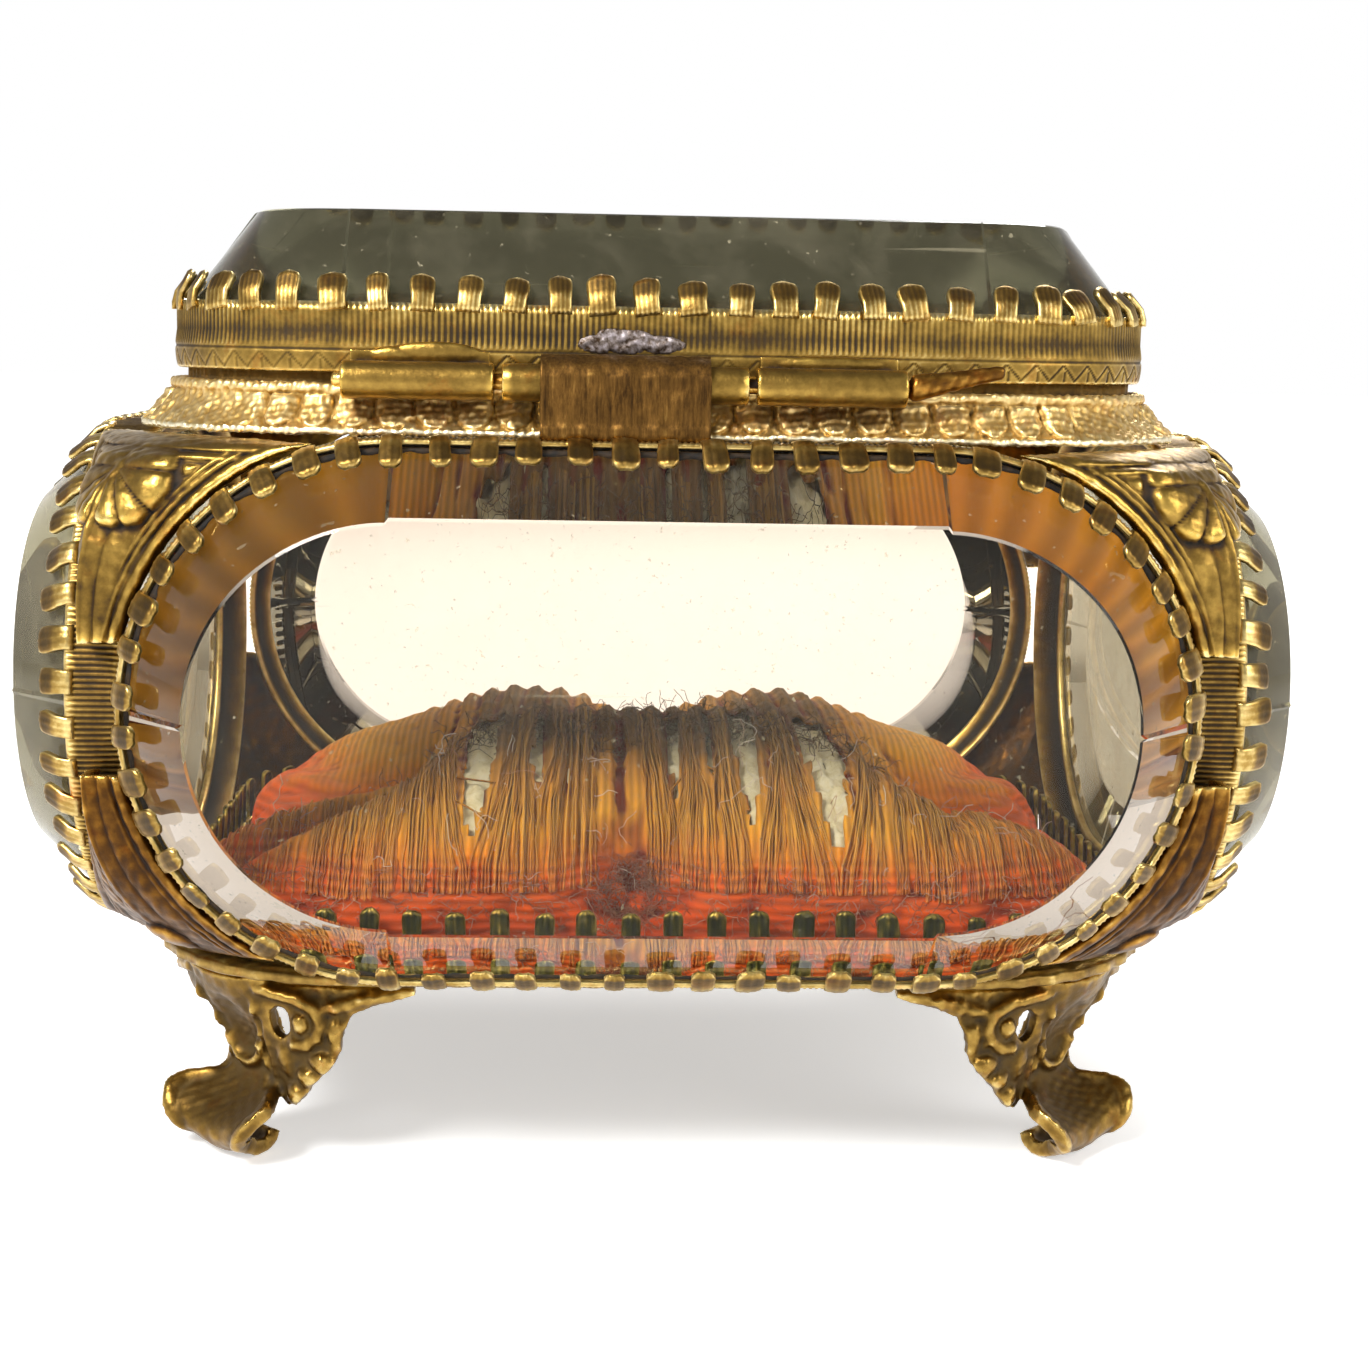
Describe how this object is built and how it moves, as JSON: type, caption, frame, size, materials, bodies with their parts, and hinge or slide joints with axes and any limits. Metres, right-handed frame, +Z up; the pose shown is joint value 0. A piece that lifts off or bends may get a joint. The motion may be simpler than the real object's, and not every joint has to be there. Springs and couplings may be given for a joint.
{
  "type": "glass casket box",
  "caption": "Small bevelled-glass casket in a gilt-brass frame with scroll feet, a hinged glazed lid and a tufted silk cushion inside.",
  "frame": {"origin": "on the floor under the middle of the box", "axes": "+X to the box's right seen from the front, -Y towards the front with the thumb lift, +Y towards the hinge, +Z up"},
  "size_m": [0.1016, 0.0826, 0.075],
  "materials": {
    "gilt_brass": "gilt stamped brass, worn, brown in the hollows",
    "dark_gilt_brass": "gilt cast brass, darker and rubbed bright on the high spots",
    "pane_glass": "clear pale green bevelled glass, dusty",
    "lid_glass": "thick olive-grey bevelled glass, dusty and scratched",
    "pin_steel": "dark steel wire",
    "card": "plain card",
    "cotton_wadding": "loose cotton wadding",
    "orange_silk": "worn orange silk satin, threadbare at the crown"
  },
  "bodies": {
    "casket": {"back_glass": "pane_glass", "front_glass": "pane_glass", "left_glass": "pane_glass", "right_glass": "pane_glass", "back_gallery": "gilt_brass", "front_gallery": "gilt_brass", "left_gallery": "gilt_brass", "right_gallery": "gilt_brass", "collar": "gilt_brass", "base_ring": "dark_gilt_brass", "floor_plate": "dark_gilt_brass", "floor_gallery": "gilt_brass", "top_spandrel_front_left": "gilt_brass", "top_spandrel_front_right": "gilt_brass", "top_spandrel_back_left": "gilt_brass", "top_spandrel_back_right": "gilt_brass", "low_spandrel_front_left": "dark_gilt_brass", "low_spandrel_front_right": "dark_gilt_brass", "low_spandrel_back_left": "dark_gilt_brass", "low_spandrel_back_right": "dark_gilt_brass", "foot_front_left": "dark_gilt_brass", "foot_front_right": "dark_gilt_brass", "foot_back_left": "dark_gilt_brass", "foot_back_right": "dark_gilt_brass", "hinge_plate": "gilt_brass", "hinge_pin": "pin_steel", "cushion_board": "card", "cushion_wadding": "cotton_wadding", "cushion_silk": "orange_silk"},
    "lid": {"lid_glass": "lid_glass", "lid_gallery": "gilt_brass", "lid_knuckle_left": "gilt_brass", "lid_knuckle_right": "gilt_brass", "thumb_lift": "gilt_brass"}
  },
  "joints": [
    {"name": "lid_hinge", "type": "hinge", "parent": "casket", "child": "lid", "pos_m": [0, 0.0336, 0.0622], "axis": [-1, 0, 0], "range_deg": [0, 110]}
  ]
}
